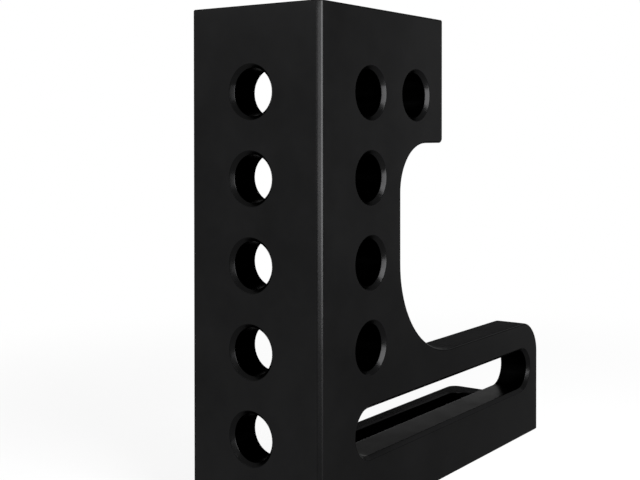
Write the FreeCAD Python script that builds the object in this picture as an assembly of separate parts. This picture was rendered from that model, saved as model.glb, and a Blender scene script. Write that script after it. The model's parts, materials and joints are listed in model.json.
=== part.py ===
import FreeCAD, Part
import math
import os

# Left-hand angle plate for a welding table that has 28 mm bores on a 50 mm grid.
# Millimetres, Z up. It is drawn from its datum corner, where the three machined faces meet:
# the stop face is the plane x = 0, the web's outer face is y = 0 and the underside is z = 0.
# The finished plate then stands with the origin under the middle of its length and width.

# Overall sizes
height = 300.0
foot_length = 275.0
front_width = 95.0
base_width = 75.0

# Walls
front_thickness = 22.5
web_thickness = 24.0
base_thickness = 24.0

# Bores and slots stand on the grid, counted from the underside, the stop face and the web's face.
# Both slots end where the same land of metal is left at the foot's end.
grid = 50.0
bore_diameter = 28.0
rim_chamfer = 2.25
bores_up = 5
slot_end_land = 14.0

# Web outline, seen along Y
block_length = 132.5
block_height = 80.0
block_corner_radius = 3.0
neck_width = 82.5
notch_top_radius = 30.0
notch_foot_radius = 62.0
foot_height = 84.0
foot_corner_radius = 24.0

# Edges
base_corner_radius = 8.0
stop_edge_chamfer = 2.5
root_radius = 6.0
edge_chamfer = 0.8

X_AXIS = FreeCAD.Vector(1, 0, 0)
Y_AXIS = FreeCAD.Vector(0, 1, 0)
Z_AXIS = FreeCAD.Vector(0, 0, 1)
TOLERANCE = 1e-4
probe = 0.05

bore_radius = bore_diameter / 2
slot_reach = foot_length - slot_end_land - bore_radius


def near(value, target):
    return abs(value - target) < TOLERANCE


def outline(corners):
    # A closed face in the XY plane from its corners (x, y, radius). A corner is a tangent arc,
    # or sharp where its radius is 0.
    points = [FreeCAD.Vector(x, y, 0) for x, y, _ in corners]
    edges = []
    ends = []
    for index, corner in enumerate(points):
        radius = corners[index][2]
        before = (points[index - 1] - corner).normalize()
        after = (points[(index + 1) % len(points)] - corner).normalize()
        if radius == 0:
            ends.append((corner, corner))
            continue
        half = before.getAngle(after) / 2
        reach = radius / math.tan(half)
        bisector = (before + after).normalize()
        middle = corner + bisector * (radius / math.sin(half) - radius)
        start = corner + before * reach
        end = corner + after * reach
        edges.append(Part.Arc(start, middle, end).toShape())
        ends.append((start, end))
    for index, (_, end) in enumerate(ends):
        start_of_next = ends[(index + 1) % len(ends)][0]
        if end.distanceToPoint(start_of_next) > TOLERANCE:
            edges.append(Part.LineSegment(end, start_of_next).toShape())
    return Part.Face(Part.Wire(Part.__sortEdges__(edges)))


def bolt_slot():
    # A round-ended slot for the bolts, from the grid's first point to its reach along X.
    left = grid - bore_radius
    right = slot_reach + bore_radius
    low = grid - bore_radius
    high = grid + bore_radius
    return outline([(left, low, bore_radius), (right, low, bore_radius),
                    (right, high, bore_radius), (left, high, bore_radius)])


def bore_face(x, y):
    circle = Part.Circle(FreeCAD.Vector(x, y, 0), Z_AXIS, bore_radius)
    return Part.Face(Part.Wire(circle.toShape()))


def rims(plate, level):
    # The edges of the openings in the plate's face at that level.
    found = []
    for side in plate.Faces:
        if near(side.BoundBox.ZMin, level) and near(side.BoundBox.ZMax, level):
            for wire in side.Wires:
                if not wire.isSame(side.OuterWire):
                    found.extend(wire.Edges)
    return found


def pierced_plate(face, thickness, openings, outer_level):
    # A plate from its outline, cut by the openings. Every rim is chamfered on the outer side,
    # which meets the table or the work. On the inner side only the bores are, the full circles.
    plate = face.extrude(Z_AXIS * thickness)
    for opening in openings:
        plate = plate.cut(opening.extrude(Z_AXIS * thickness))
    inner_rims = rims(plate, thickness - outer_level)
    chamfered = rims(plate, outer_level) + [edge for edge in inner_rims if edge.isClosed()]
    return plate.makeChamfer(rim_chamfer, chamfered)


def front_plate():
    # Drawn as Y across and Z up, then stood on the plane x = 0.
    face = outline([(0, 0, 0), (front_width, 0, 0), (front_width, height, 0), (0, height, 0)])
    bores = [bore_face(grid, grid * step) for step in range(1, bores_up + 1)]
    plate = pierced_plate(face, front_thickness, bores, 0)
    plate.rotate(FreeCAD.Vector(), FreeCAD.Vector(1, 1, 1), 120)
    return plate


def web_plate():
    # Drawn as X along and Z up, then stood on the plane y = 0.
    block_bottom = height - block_height
    face = outline([(0, 0, 0), (foot_length, 0, 0),
                    (foot_length, foot_height, foot_corner_radius),
                    (neck_width, foot_height, notch_foot_radius),
                    (neck_width, block_bottom, notch_top_radius),
                    (block_length, block_bottom, block_corner_radius),
                    (block_length, height, 0), (0, height, 0)])
    openings = [bore_face(grid, grid * step) for step in range(2, bores_up + 1)]
    openings.append(bore_face(2 * grid, bores_up * grid))
    openings.append(bolt_slot())
    plate = pierced_plate(face, web_thickness, openings, web_thickness)
    plate.rotate(FreeCAD.Vector(), X_AXIS, 90)
    plate.translate(Y_AXIS * web_thickness)
    return plate


def base_flange():
    face = outline([(0, 0, 0), (foot_length, 0, 0),
                    (foot_length, base_width, base_corner_radius), (0, base_width, 0)])
    return pierced_plate(face, base_thickness, [bolt_slot()], 0)


def edges_where(shape, test):
    return [edge for edge in shape.Edges if all(test(v.Point) for v in edge.Vertexes)
            and test(edge.valueAt((edge.FirstParameter + edge.LastParameter) / 2))]


def outward(face, at):
    u, v = face.Surface.parameter(at)
    return face.normalAt(u, v)


def square_outer_edges(shape):
    # The edges where two faces meet at about a right angle with the metal inside it.
    found = []
    for edge in shape.Edges:
        faces = shape.ancestorsOfType(edge, Part.Face)
        if len(faces) != 2:
            continue
        middle = edge.valueAt((edge.FirstParameter + edge.LastParameter) / 2)
        one, other = (outward(face, middle) for face in faces)
        beside = middle + (one - other) * probe
        if abs(one.dot(other)) < 0.5 and not shape.isInside(beside, TOLERANCE, False):
            found.append(edge)
    return found


def angle_plate():
    body = front_plate().fuse([web_plate(), base_flange()]).removeSplitter()
    roots = edges_where(body, lambda p: near(p.x, front_thickness) and near(p.y, web_thickness))
    roots += edges_where(body, lambda p: near(p.y, web_thickness) and near(p.z, base_thickness))
    roots += edges_where(body, lambda p: near(p.z, base_thickness) and near(p.x, front_thickness))
    roots += edges_where(body, lambda p: near(p.x, front_thickness) and near(p.y, base_width))
    body = body.makeFillet(root_radius, roots)
    stop_edge = edges_where(body, lambda p: near(p.x, 0) and near(p.y, 0))
    body = body.makeChamfer(stop_edge_chamfer, stop_edge)
    return body.makeChamfer(edge_chamfer, square_outer_edges(body))


plate = angle_plate()
plate.translate(FreeCAD.Vector(-foot_length / 2, -front_width / 2, 0))
print("valid", plate.isValid(), "solids", len(plate.Solids), "faces", len(plate.Faces))
print("volume cm3", round(plate.Volume / 1000, 1), "box", plate.BoundBox)
os.makedirs("parts", exist_ok=True)
plate.exportStep("parts/angle_plate.step")
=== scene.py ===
import json
import math
import bpy
import bmesh
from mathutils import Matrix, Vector, kdtree, noise


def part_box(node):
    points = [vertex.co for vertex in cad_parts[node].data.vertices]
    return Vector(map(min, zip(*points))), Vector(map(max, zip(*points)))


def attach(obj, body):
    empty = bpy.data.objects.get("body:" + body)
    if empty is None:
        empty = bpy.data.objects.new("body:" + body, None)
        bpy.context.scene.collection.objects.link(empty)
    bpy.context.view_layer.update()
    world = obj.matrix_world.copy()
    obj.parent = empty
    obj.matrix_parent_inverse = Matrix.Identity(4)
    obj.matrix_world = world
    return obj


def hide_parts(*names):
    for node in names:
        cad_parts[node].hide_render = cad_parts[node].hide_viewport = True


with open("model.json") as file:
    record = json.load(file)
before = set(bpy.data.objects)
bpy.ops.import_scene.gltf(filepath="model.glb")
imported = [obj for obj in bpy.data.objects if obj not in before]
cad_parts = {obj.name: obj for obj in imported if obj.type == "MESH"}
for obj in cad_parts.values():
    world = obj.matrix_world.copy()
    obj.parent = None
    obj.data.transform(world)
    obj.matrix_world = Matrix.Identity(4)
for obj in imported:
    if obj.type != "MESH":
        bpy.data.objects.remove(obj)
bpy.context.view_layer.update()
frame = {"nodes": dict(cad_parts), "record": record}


# Camera

cameraSettings = {
    "place": (-0.60209, -0.39849, 0.22605),
    "turn": (89.374, 0.0, -56.234),     # degrees
    "lens": 59.63,
    "sensor": 36.0,
    "shift": (-0.0955, -0.1482),
    "nearest": 0.01,
}


def placeCamera():
    data = bpy.data.cameras.new("viewCamera")
    data.lens = cameraSettings["lens"]
    data.sensor_width = cameraSettings["sensor"]
    data.shift_x, data.shift_y = cameraSettings["shift"]
    data.clip_start = cameraSettings["nearest"]
    camera = bpy.data.objects.new("viewCamera", data)
    camera.location = cameraSettings["place"]
    camera.rotation_euler = [math.radians(angle) for angle in cameraSettings["turn"]]
    bpy.context.collection.objects.link(camera)
    bpy.context.scene.camera = camera


# Studio

lampSettings = {
    # name: middle, the point it faces, width and height of the panel, watts
    "sidePanel": ((-0.225, -0.460, 0.32), (-0.225, 0.0, 0.32), 0.350, 0.50, 10.8),
    "dimPanel": ((-0.500, -0.470, 0.32), (-0.300, 0.0, 0.32), 0.160, 0.50, 0.8),
    "leftOfEye": ((-1.10, -0.30, 0.55), (-0.137, -0.047, 0.20), 0.14, 0.7, 2.0),
    "backLeft": ((-1.00, 0.55, 0.80), (-0.137, 0.0, 0.16), 0.6, 0.6, 2.0),
    "farRight": ((0.70, -0.26, 0.27), (0.05, -0.04, 0.12), 0.40, 0.54, 0.9),
}


def addLamps():
    for name, (middle, target, width, tall, watts) in lampSettings.items():
        data = bpy.data.lights.new(name, "AREA")
        data.shape = "RECTANGLE"
        data.size = width
        data.size_y = tall
        data.energy = watts
        lamp = bpy.data.objects.new(name, data)
        lamp.location = middle
        facing = Vector(target) - Vector(middle)
        facing.z = 0        # the panels stand upright
        lamp.rotation_euler = facing.to_track_quat("-Z", "Y").to_euler()
        bpy.context.collection.objects.link(lamp)


def addNode(tree, kind, values=None, **options):
    node = tree.nodes.new("ShaderNode" + kind)
    for option, choice in options.items():
        setattr(node, option, choice)
    for socket, value in (values or {}).items():
        node.inputs[socket].default_value = value
    return node


def brightSight(tree):
    # 1 where the eye, a gloss or a clear body looks straight at the surface
    path = addNode(tree, "LightPath")
    both = addNode(tree, "Math", operation="MAXIMUM")
    every = addNode(tree, "Math", operation="MAXIMUM")
    tree.links.new(path.outputs["Is Camera Ray"], both.inputs[0])
    tree.links.new(path.outputs["Is Glossy Ray"], both.inputs[1])
    tree.links.new(both.outputs[0], every.inputs[0])
    tree.links.new(path.outputs["Is Transmission Ray"], every.inputs[1])
    return every.outputs[0]


roomSettings = {
    "white": (1, 1, 1, 1),
    "sky": 0.45,            # strength that lights the plate
    "floorSize": 40.0,
    "floorTone": 0.85,
    "floorGlow": 0.86,      # how much of the floor's own white hides its shadow
    "shadowEnd": (0.25, 0.70),      # the floor melts into plain white between these distances
}


def buildWorld():
    world = bpy.data.worlds.new("paleRoom")
    bpy.context.scene.world = world
    world.use_nodes = True
    tree = world.node_tree
    tree.nodes.clear()
    lit = addNode(tree, "Background",
                  {"Color": roomSettings["white"], "Strength": roomSettings["sky"]})
    seen = addNode(tree, "Background", {"Color": roomSettings["white"]})
    mix = addNode(tree, "MixShader")
    out = addNode(tree, "OutputWorld")
    tree.links.new(brightSight(tree), mix.inputs[0])
    tree.links.new(lit.outputs[0], mix.inputs[1])
    tree.links.new(seen.outputs[0], mix.inputs[2])
    tree.links.new(mix.outputs[0], out.inputs["Surface"])


def paleFloor():
    material = bpy.data.materials.new("paleFloor")
    material.use_nodes = True
    tree = material.node_tree
    tree.nodes.clear()
    nearEnd, farEnd = roomSettings["shadowEnd"]
    place = addNode(tree, "TexCoord")
    distance = addNode(tree, "VectorMath", operation="LENGTH")
    melt = addNode(tree, "MapRange", {"From Min": nearEnd, "From Max": farEnd,
                                      "To Min": roomSettings["floorGlow"]},
                   interpolation_type="SMOOTHSTEP")
    share = addNode(tree, "Math", operation="MULTIPLY")
    paint = addNode(tree, "BsdfDiffuse", {"Color": (roomSettings["floorTone"],) * 3 + (1,)})
    glow = addNode(tree, "Emission")
    mix = addNode(tree, "MixShader")
    out = addNode(tree, "OutputMaterial")
    tree.links.new(place.outputs["Object"], distance.inputs[0])
    tree.links.new(distance.outputs["Value"], melt.inputs["Value"])
    tree.links.new(brightSight(tree), share.inputs[0])
    tree.links.new(melt.outputs[0], share.inputs[1])
    tree.links.new(share.outputs[0], mix.inputs[0])
    tree.links.new(paint.outputs[0], mix.inputs[1])
    tree.links.new(glow.outputs[0], mix.inputs[2])
    tree.links.new(mix.outputs[0], out.inputs["Surface"])
    return material


def buildFloor():
    half = roomSettings["floorSize"] / 2
    corners = [(-half, -half, 0), (half, -half, 0), (half, half, 0), (-half, half, 0)]
    mesh = bpy.data.meshes.new("floor")
    mesh.from_pydata(corners, [], [(0, 1, 2, 3)])
    mesh.materials.append(paleFloor())
    floor = bpy.data.objects.new("floor", mesh)
    bpy.context.collection.objects.link(floor)


# Blackened iron, one metal with a finish for each tool that touched it; the bore and slot walls,
# the chamfer rims, the stop edge's flat and the face looking to -Y are darker copies with painted
# shade

ironSettings = {
    "cloud": {"Scale": 35.0, "Detail": 7.0, "Roughness": 0.62},
    "cloudSpan": (0.32, 0.72),      # the tone goes from dark to pale across this part of the cloud
    "blueCast": 1.02,
    "grainDetail": 3.0,
    # gloss is the roughness from dark to pale; edgeTint dims the sheen at a slant
    # lay squeezes the grain along the tool's path, and depth is how far it stands up
    "finishes": {
        "ground": {"dark": 0.0106, "pale": 0.0134, "gloss": (0.28, 0.35), "edgeTint": 0.52,
                   "lay": (300.0, 300.0, 6.0), "grain": 9.0, "depth": 0.000006},
        # the face looking to -Y takes a darker copy of the ground finish: painted shade
        "groundSidePaintedShade": {"dark": 0.0080, "pale": 0.0102, "gloss": (0.28, 0.35), "edgeTint": 0.54,
                       "lay": (300.0, 300.0, 6.0), "grain": 9.0, "depth": 0.000006},
        "cast": {"dark": 0.0085, "pale": 0.0175, "gloss": (0.36, 0.74), "edgeTint": 0.32,
                 "lay": (10.0, 10.0, 10.0), "grain": 42.0, "depth": 0.00016},
        "edge": {"dark": 0.0100, "pale": 0.0140, "gloss": (0.28, 0.34), "edgeTint": 0.35,
                 "lay": (10.0, 10.0, 10.0), "grain": 90.0, "depth": 0.00003},
        # the bore and slot walls are painted near black: painted shade in the recesses
        "boredPaintedShade": {"dark": 0.0005, "pale": 0.0012, "gloss": (0.26, 0.34), "edgeTint": 0.36,
                  "lay": (10.0, 10.0, 10.0), "grain": 90.0, "depth": 0.00003},
        "milledPaintedShade": {"dark": 0.0005, "pale": 0.0012, "gloss": (0.20, 0.46), "edgeTint": 0.45,
                   "lay": (10.0, 10.0, 10.0), "grain": 90.0, "depth": 0.00003},
        # the chamfer rims are painted darker than the faces around them: painted shade
        "rimPaintedShade": {"dark": 0.0058, "pale": 0.0072, "gloss": (0.22, 0.28), "edgeTint": 0.50,
                "lay": (10.0, 10.0, 10.0), "grain": 90.0, "depth": 0.00002},
        # the stop edge's flat is painted darker than its soft borders and the faces: painted shade
        "stopEdgePaintedShade": {"dark": 0.0075, "pale": 0.0095, "gloss": (0.24, 0.30), "edgeTint": 0.35,
                     "lay": (10.0, 10.0, 10.0), "grain": 90.0, "depth": 0.00002},
    },
}


def blackIron(name):
    look = ironSettings["finishes"][name]
    material = bpy.data.materials.new(name + "Iron")
    material.use_nodes = True
    tree = material.node_tree
    shader = tree.nodes["Principled BSDF"]
    shader.inputs["Metallic"].default_value = 1.0
    shader.inputs["Specular Tint"].default_value = (look["edgeTint"],) * 3 + (1,)
    place = addNode(tree, "TexCoord")
    cloud = addNode(tree, "TexNoise", ironSettings["cloud"])
    tone = addNode(tree, "ValToRGB")
    shades = (look["dark"], look["pale"])
    for stop, position, shade in zip(tone.color_ramp.elements, ironSettings["cloudSpan"], shades):
        stop.position = position
        stop.color = (shade, shade, shade * ironSettings["blueCast"], 1)
    smooth, rough = look["gloss"]
    gloss = addNode(tree, "MapRange", {"To Min": smooth, "To Max": rough})
    along = addNode(tree, "Mapping", {"Scale": look["lay"]})
    grain = addNode(tree, "TexNoise",
                    {"Scale": look["grain"], "Detail": ironSettings["grainDetail"]})
    bump = addNode(tree, "Bump", {"Strength": 1.0, "Distance": look["depth"]})
    tree.links.new(place.outputs["Object"], cloud.inputs["Vector"])
    tree.links.new(place.outputs["Object"], along.inputs["Vector"])
    tree.links.new(along.outputs["Vector"], grain.inputs["Vector"])
    tree.links.new(cloud.outputs["Fac"], tone.inputs["Fac"])
    tree.links.new(cloud.outputs["Fac"], gloss.inputs["Value"])
    tree.links.new(grain.outputs["Fac"], bump.inputs["Height"])
    tree.links.new(tone.outputs["Color"], shader.inputs["Base Color"])
    tree.links.new(gloss.outputs[0], shader.inputs["Roughness"])
    tree.links.new(bump.outputs["Normal"], shader.inputs["Normal"])
    return material


# The casting, in metres. A lean is the share of a face's normal that points along an axis.

castingSettings = {
    "weld": 1e-6,
    "flatWithin": 0.3,          # degrees, neighbours flatter than this join into one face
    "edgeFrom": 25.0,           # degrees, sharper edges are broken
    "edgeBreak": 0.00025,
    "edgeSegments": 2,
    "stopReach": 0.004,         # the upright stop edge lies this near to the corner
    "stopLean": (0.5, 0.9),     # between the front, which faces -X, and the side
    "uprightFace": 0.1,         # a face that leans on Z less than this stands upright
    "uprightEdge": 0.9,         # and so does an edge that runs along Z more than this
    "stopBreak": 0.0009,        # the borders of the stop edge are softer
    "stopSegments": 4,
    "slotTravel": 0.1970,       # between the middles of a slot's round ends
    "wallReach": 0.0006,        # a wall's faces lie this near to its radius
    "wallLean": 0.2,
    "rimReach": 0.0030,         # a chamfer stands out this far from its wall
    "rimLean": 0.95,
    "machinedSkin": 0.0012,     # a face this close to the outside was on the milling table
    "sideLean": 0.9,
    "gridPitch": 0.005,
    "skinSwell": 0.00012,       # how far the cast skin wanders in and out
    "skinWave": 0.022,
    "skinRoughness": (0.8, 2.0, 2),     # falloff, step and count of the finer waves
    "skinFade": 0.010,
}


def distanceToAxis(point, mount):
    away = point - Vector(mount["pos_m"])
    axis = Vector(mount["axis"])
    return (away - axis * away.dot(axis)).length


def distanceToSlot(point, mount):
    # both slots run along X
    half = castingSettings["slotTravel"] / 2
    along = max(-half, min(half, point.x - mount["pos_m"][0]))
    return distanceToAxis(point - Vector((along, 0, 0)), mount)


def nearestOpening(point, bores, slots):
    # the room to its middle line, which way it runs through the iron, and its wall's finish,
    # painted near black as shade
    openings = [(distanceToAxis(point, bore), bore, "boredPaintedShade") for bore in bores]
    openings += [(distanceToSlot(point, slot), slot, "milledPaintedShade") for slot in slots]
    room, mount, wallShade = min(openings, key=lambda opening: opening[0])
    return room, Vector(mount["axis"]), wallShade


def isStopEdge(face, outside):
    # the flat between the front and the web's outer face
    least, most = castingSettings["stopLean"]
    if abs(face.normal.z) > castingSettings["uprightFace"]:
        return False
    if not least < abs(face.normal.x) < most:
        return False
    point = face.calc_center_median()
    corner = outside[0]
    reach = castingSettings["stopReach"]
    return point.x < corner.x + reach and point.y < corner.y + reach


def finishOf(face, isBroken, outside, bores, slots):
    point = face.calc_center_median()
    radius = bores[0]["dims"]["r_mm"] / 1000        # the slots are as wide as the bores
    room, axis, wallShade = nearestOpening(point, bores, slots)
    lean = abs(face.normal.dot(axis))
    isSlanted = castingSettings["wallLean"] < lean < castingSettings["rimLean"]
    # bore and slot walls take their finish with painted shade
    if room < radius + castingSettings["wallReach"] and lean < castingSettings["wallLean"]:
        return wallShade
    # chamfer rims take the finish with painted shade
    if room < radius + castingSettings["rimReach"] and (isBroken or isSlanted):
        return "rimPaintedShade"
    if isBroken:
        return "edge"
    # the stop edge's flat takes the finish with painted shade
    if isStopEdge(face, outside):
        return "stopEdgePaintedShade"
    low, high = outside
    skin = castingSettings["machinedSkin"]
    if any(point[i] < low[i] + skin or point[i] > high[i] - skin for i in range(3)):
        # faces looking to -Y take the darker ground copy, with painted shade
        return "groundSidePaintedShade" if face.normal.y < -castingSettings["sideLean"] else "ground"
    return "cast"


def plainMesh(node):
    mesh = bmesh.new()
    mesh.from_mesh(node.data)
    bmesh.ops.remove_doubles(mesh, verts=mesh.verts, dist=castingSettings["weld"])
    bmesh.ops.dissolve_limit(mesh, angle_limit=math.radians(castingSettings["flatWithin"]),
                             verts=mesh.verts, edges=mesh.edges)
    return mesh


def breakEdges(mesh, edges, width, segments):
    made = bmesh.ops.bevel(mesh, geom=edges, offset=width, offset_type="OFFSET",
                           segments=segments, profile=0.5, affect="EDGES", clamp_overlap=False)
    return set(made["faces"])


def breakStopEdge(mesh, outside):
    upright = [edge for face in mesh.faces if isStopEdge(face, outside) for edge in face.edges
               if abs((edge.verts[0].co - edge.verts[1].co).normalized().z)
               > castingSettings["uprightEdge"]]
    return breakEdges(mesh, upright, castingSettings["stopBreak"], castingSettings["stopSegments"])


def breakSharpEdges(mesh):
    limit = math.radians(castingSettings["edgeFrom"])
    sharp = [edge for edge in mesh.edges
             if len(edge.link_faces) == 2 and edge.calc_face_angle(0) > limit]
    return breakEdges(mesh, sharp, castingSettings["edgeBreak"], castingSettings["edgeSegments"])


def cutGrid(mesh, outside):
    # even cells over every face, so that the cast skin can wander
    low, high = outside
    for axis in range(3):
        across = Vector((0, 0, 0))
        across[axis] = 1
        count = round((high[axis] - low[axis]) / castingSettings["gridPitch"])
        for step in range(1, count):
            bmesh.ops.bisect_plane(mesh, geom=mesh.verts[:] + mesh.edges[:] + mesh.faces[:],
                                   dist=castingSettings["weld"],
                                   plane_co=low.lerp(high, step / count), plane_no=across)


def swellSkin(mesh, castSlot):
    # the skin lies still where it meets a machined face and wanders further in
    fixed = [vert.co.copy() for vert in mesh.verts
             if any(face.material_index != castSlot for face in vert.link_faces)]
    tree = kdtree.KDTree(len(fixed))
    for index, place in enumerate(fixed):
        tree.insert(place, index)
    tree.balance()
    mesh.normal_update()
    moves = []
    for vert in mesh.verts:
        room = min(1.0, tree.find(vert.co)[2] / castingSettings["skinFade"])
        if room > 0:
            lift = noise.fractal(vert.co / castingSettings["skinWave"],
                                 *castingSettings["skinRoughness"])
            moves.append((vert, vert.normal * (lift * room * castingSettings["skinSwell"])))
    for vert, move in moves:
        vert.co += move


def keepInside(mesh, outside):
    # a broken corner may stand a hair proud of the plate
    low, high = outside
    for vert in mesh.verts:
        vert.co = [min(max(vert.co[i], low[i]), high[i]) for i in range(3)]


def castPlate():
    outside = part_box("angle_plate")
    mounts = frame["record"]["mounts"]
    bores = [mount for mount in mounts if mount["kind"] == "bore"]
    slots = [mount for mount in mounts if mount["kind"] == "slide"]
    finishes = list(ironSettings["finishes"])
    mesh = plainMesh(frame["nodes"]["angle_plate"])
    broken = breakStopEdge(mesh, outside)
    broken |= breakSharpEdges(mesh)
    for face in mesh.faces:
        finish = finishOf(face, face in broken, outside, bores, slots)
        face.material_index = finishes.index(finish)
        face.smooth = True
    print("edges broken and finishes given:", len(mesh.faces), "faces")
    cutGrid(mesh, outside)
    swellSkin(mesh, finishes.index("cast"))
    keepInside(mesh, outside)
    print("skin worked:", len(mesh.verts), "points")
    data = bpy.data.meshes.new("anglePlateCasting")
    mesh.to_mesh(data)
    mesh.free()
    for name in finishes:
        data.materials.append(blackIron(name))
    casting = bpy.data.objects.new("anglePlateCasting", data)
    bpy.context.collection.objects.link(casting)
    weighted = casting.modifiers.new("evenShading", "WEIGHTED_NORMAL")
    weighted.mode = "FACE_AREA_WITH_ANGLE"
    weighted.keep_sharp = True
    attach(casting, "root")
    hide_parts("angle_plate")


bpy.context.scene.view_settings.view_transform = "Standard"
placeCamera()
buildWorld()
buildFloor()
addLamps()
print("studio ready")
castPlate()
print("casting made")
